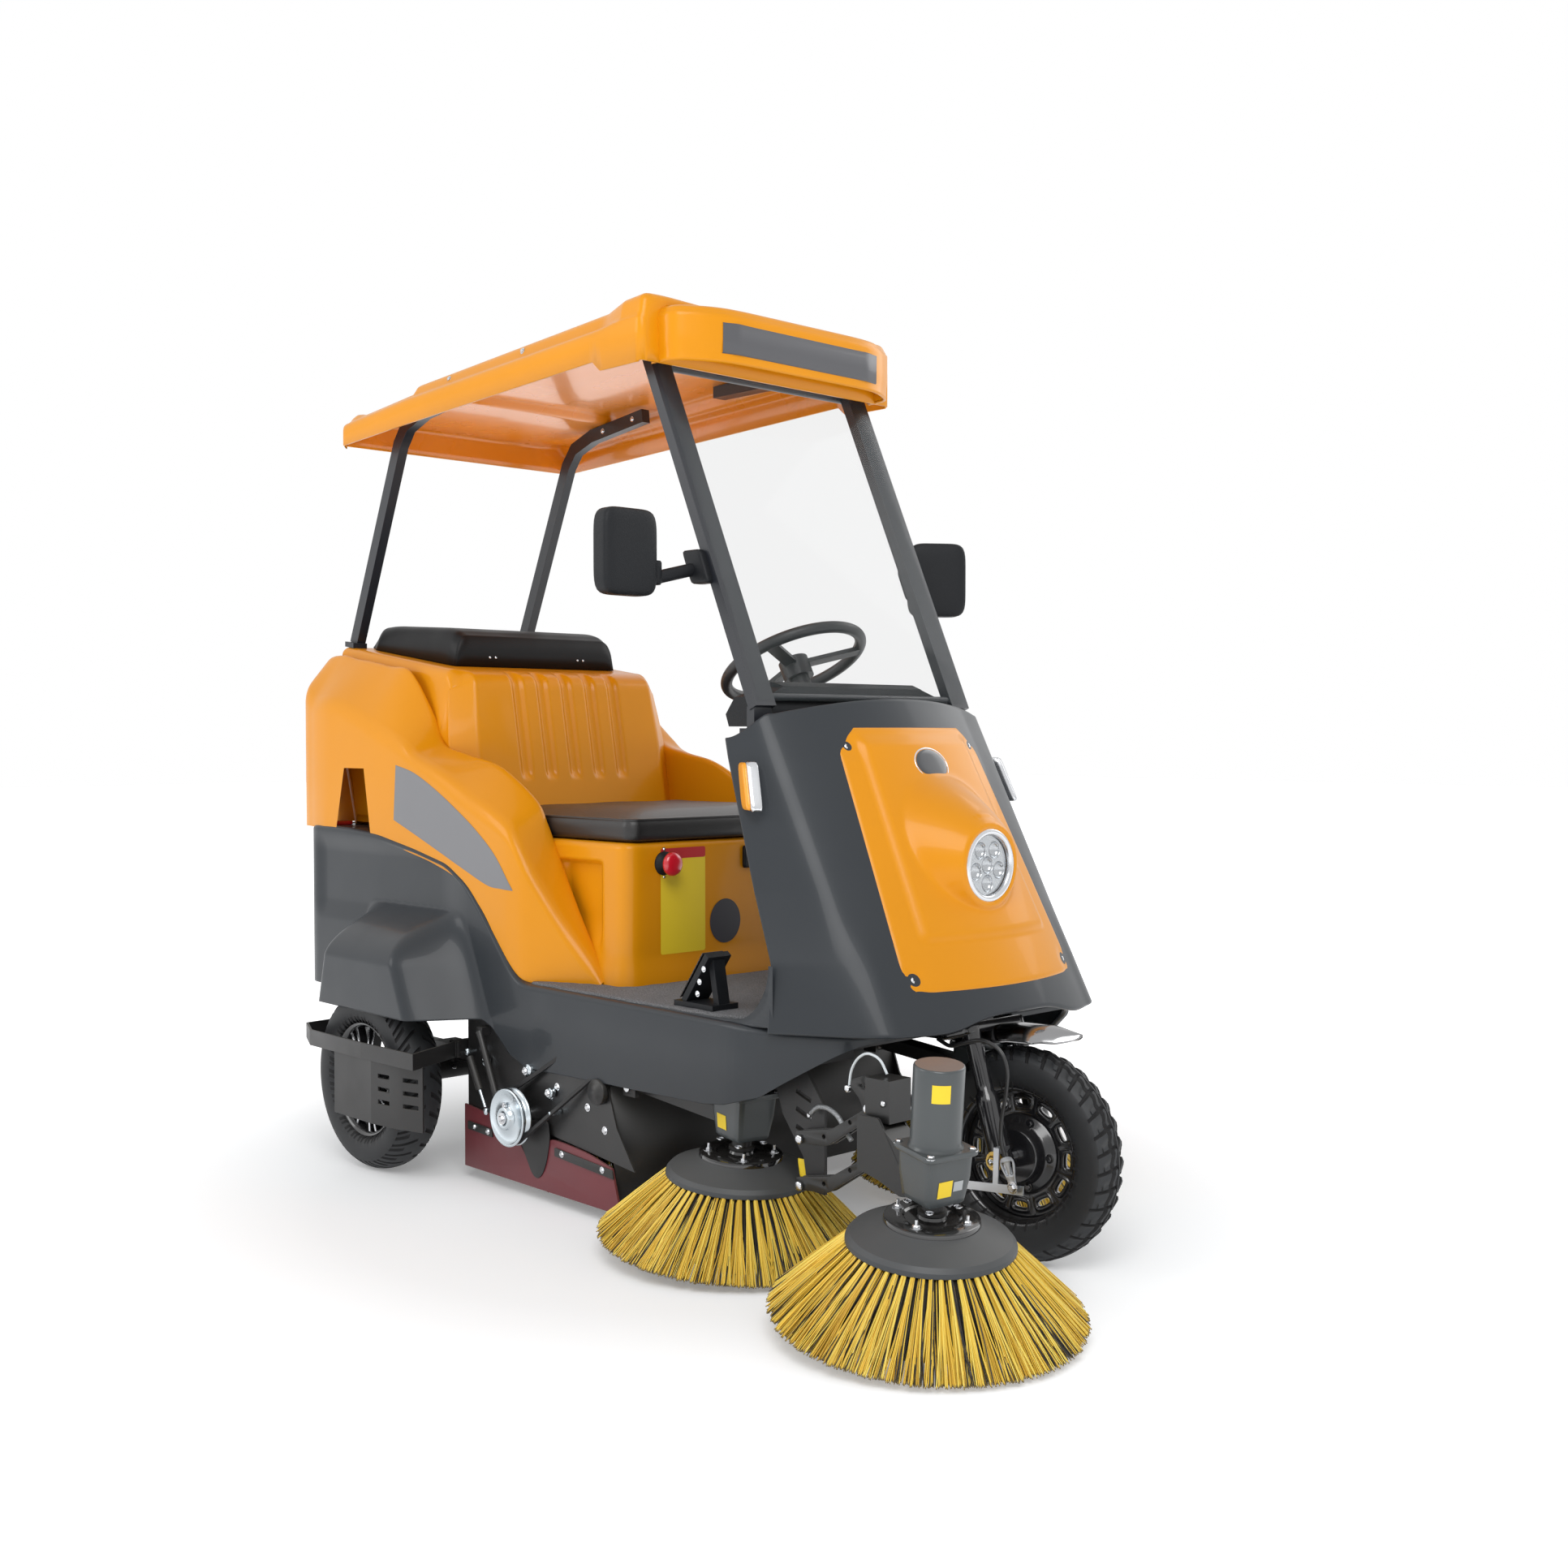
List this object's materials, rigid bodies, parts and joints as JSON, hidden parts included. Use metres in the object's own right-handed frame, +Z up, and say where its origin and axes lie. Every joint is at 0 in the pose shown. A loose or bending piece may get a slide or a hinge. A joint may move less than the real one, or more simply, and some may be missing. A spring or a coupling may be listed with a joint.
{
  "type": "ride-on road sweeper",
  "caption": "Compact three-wheel ride-on sweeper with canopy, raked front wheel, forward side brush on a lifting arm, side brushes under the floor and a cylinder broom.",
  "frame": {"origin": "on the ground under the middle of the machine", "axes": "+X forward, +Y to the driver's left, +Z up"},
  "size_m": [2.5504, 1.3876, 1.984],
  "materials": {
    "body_orange": "gloss",
    "body_grey": "satin gloss",
    "frame_black": "satin powder coat",
    "dash_black": "grained",
    "clear_glass": "clear",
    "seat_leather": "soft grain",
    "mat_carpet": "looped carpet",
    "sign_grey": "flat",
    "lamp_lens": "clear lens",
    "amber_lens": "translucent",
    "red_lens": "translucent",
    "stop_red": "gloss",
    "tyre_rubber": "matt rubber",
    "rim_black": "gloss",
    "bristle_yellow": "nylon filament",
    "bristle_black": "nylon filament",
    "disc_black": "moulded",
    "motor_grey": "satin",
    "skirt_red": "matt",
    "cable_black": "satin sleeve",
    "zinc": "zinc plate",
    "bin_plastic": "moulded",
    "battery_case": "moulded"
  },
  "bodies": {
    "chassis": {"battery_box": "battery_case", "brake_pedal": "dash_black", "broom_box": "frame_black", "canopy": "body_orange", "dash": "dash_black", "dust_bin": "bin_plastic", "floor_mat": "mat_carpet", "frame": "frame_black", "front_cowl": "body_grey", "headlamp": "lamp_lens", "indicator_left": "amber_lens", "indicator_right": "amber_lens", "lower_body": "body_grey", "mirror_left": "dash_black", "mirror_right": "dash_black", "nose_panel": "body_orange", "rear_axle": "frame_black", "rear_housing": "body_orange", "rear_post_left": "frame_black", "rear_post_right": "frame_black", "roof_sign": "sign_grey", "seat_cushion": "seat_leather", "skirt_left": "skirt_red", "skirt_right": "skirt_red", "stop_button": "stop_red", "tail_lamp_left": "red_lens", "tail_lamp_right": "red_lens", "throttle_pedal": "dash_black", "wheel_guard_left": "frame_black", "wheel_guard_right": "frame_black", "windscreen": "clear_glass", "windscreen_frame": "frame_black"},
    "lid": {"rear_lid": "dash_black"},
    "steering_wheel": {"steering_wheel": "dash_black"},
    "fork": {"fork": "frame_black", "brake_lever": "zinc", "brake_cable": "cable_black"},
    "front_wheel": {"front_tyre": "tyre_rubber", "front_rim": "rim_black"},
    "rear_wheel_right": {"rear_tyre_right": "tyre_rubber", "rear_rim_right": "rim_black"},
    "rear_wheel_left": {"rear_tyre_left": "tyre_rubber", "rear_rim_left": "rim_black"},
    "arm_upper": {"brush_arm_upper": "frame_black"},
    "arm_lower": {"brush_arm_lower": "frame_black"},
    "carrier": {"brush_carrier": "motor_grey"},
    "front_brush": {"front_brush_disc": "disc_black", "front_brush_bristles": "bristle_yellow"},
    "mid_arm_right": {"mid_brush_drive_right": "motor_grey"},
    "mid_arm_left": {"mid_brush_drive_left": "motor_grey"},
    "mid_brush_right": {"mid_brush_disc_right": "disc_black", "mid_brush_bristles_right": "bristle_yellow"},
    "mid_brush_left": {"mid_brush_disc_left": "disc_black", "mid_brush_bristles_left": "bristle_yellow"},
    "broom": {"main_broom": "bristle_black", "broom_pulley": "zinc"}
  },
  "joints": [
    {"name": "lid_hinge", "type": "hinge", "parent": "chassis", "child": "lid", "pos_m": [-0.78922, 0.041, 1.22292], "axis": [0, 1, 0], "range_deg": [0, 65]},
    {"name": "steer", "type": "hinge", "parent": "chassis", "child": "fork", "pos_m": [0.805, 0.041, 0.20091], "axis": [-0.3007, 0, 0.9537], "range_deg": [-46, 32]},
    {"name": "steering_wheel_turn", "type": "hinge", "parent": "chassis", "child": "steering_wheel", "pos_m": [0.19078, 0.041, 1.205], "axis": [-0.4695, 0, 0.8829], "range_deg": [-138, 96]},
    {"name": "front_wheel_spin", "type": "hinge", "parent": "fork", "child": "front_wheel", "pos_m": [0.84278, 0.04657, 0.21282], "axis": [-0.1327, 0.9903, -0.0419], "continuous": true},
    {"name": "rear_wheel_right_spin", "type": "hinge", "parent": "chassis", "child": "rear_wheel_right", "pos_m": [-0.68922, -0.499, 0.218], "axis": [0, 1, 0], "continuous": true},
    {"name": "rear_wheel_left_spin", "type": "hinge", "parent": "chassis", "child": "rear_wheel_left", "pos_m": [-0.68922, 0.581, 0.218], "axis": [0, 1, 0], "continuous": true},
    {"name": "arm_upper_lift", "type": "hinge", "parent": "chassis", "child": "arm_upper", "pos_m": [0.61778, -0.349, 0.268], "axis": [0, -1, 0], "range_deg": [0, 15]},
    {"name": "arm_lower_lift", "type": "hinge", "parent": "chassis", "child": "arm_lower", "pos_m": [0.61778, -0.349, 0.178], "axis": [0, -1, 0], "range_deg": [0, 15]},
    {"name": "carrier_level", "type": "hinge", "parent": "arm_upper", "child": "carrier", "pos_m": [0.79778, -0.349, 0.355], "axis": [0, 1, 0], "range_deg": [0, 15]},
    {"name": "front_brush_spin", "type": "hinge", "parent": "carrier", "child": "front_brush", "pos_m": [0.99378, -0.411, 0.03901], "axis": [0.1045, -0.052, 0.9932], "continuous": true},
    {"name": "mid_arm_right_lift", "type": "hinge", "parent": "chassis", "child": "mid_arm_right", "pos_m": [0.1281, -0.329, 0.29889], "axis": [0, -1, 0], "range_deg": [0, 6]},
    {"name": "mid_brush_right_spin", "type": "hinge", "parent": "mid_arm_right", "child": "mid_brush_right", "pos_m": [0.41737, -0.329, 0.16316], "axis": [0.0872, 0, 0.9962], "continuous": true},
    {"name": "mid_arm_left_lift", "type": "hinge", "parent": "chassis", "child": "mid_arm_left", "pos_m": [0.1281, 0.411, 0.29889], "axis": [0, -1, 0], "range_deg": [0, 6]},
    {"name": "mid_brush_left_spin", "type": "hinge", "parent": "mid_arm_left", "child": "mid_brush_left", "pos_m": [0.41737, 0.411, 0.16316], "axis": [0.0872, 0, 0.9962], "continuous": true},
    {"name": "broom_spin", "type": "hinge", "parent": "chassis", "child": "broom", "pos_m": [-0.21322, 0.041, 0.19], "axis": [0, 1, 0], "continuous": true}
  ],
  "couplings": [
    {"joint": "steering_wheel_turn", "follows": "steer", "ratio": 3},
    {"joint": "arm_lower_lift", "follows": "arm_upper_lift", "ratio": 1},
    {"joint": "carrier_level", "follows": "arm_upper_lift", "ratio": 1}
  ]
}
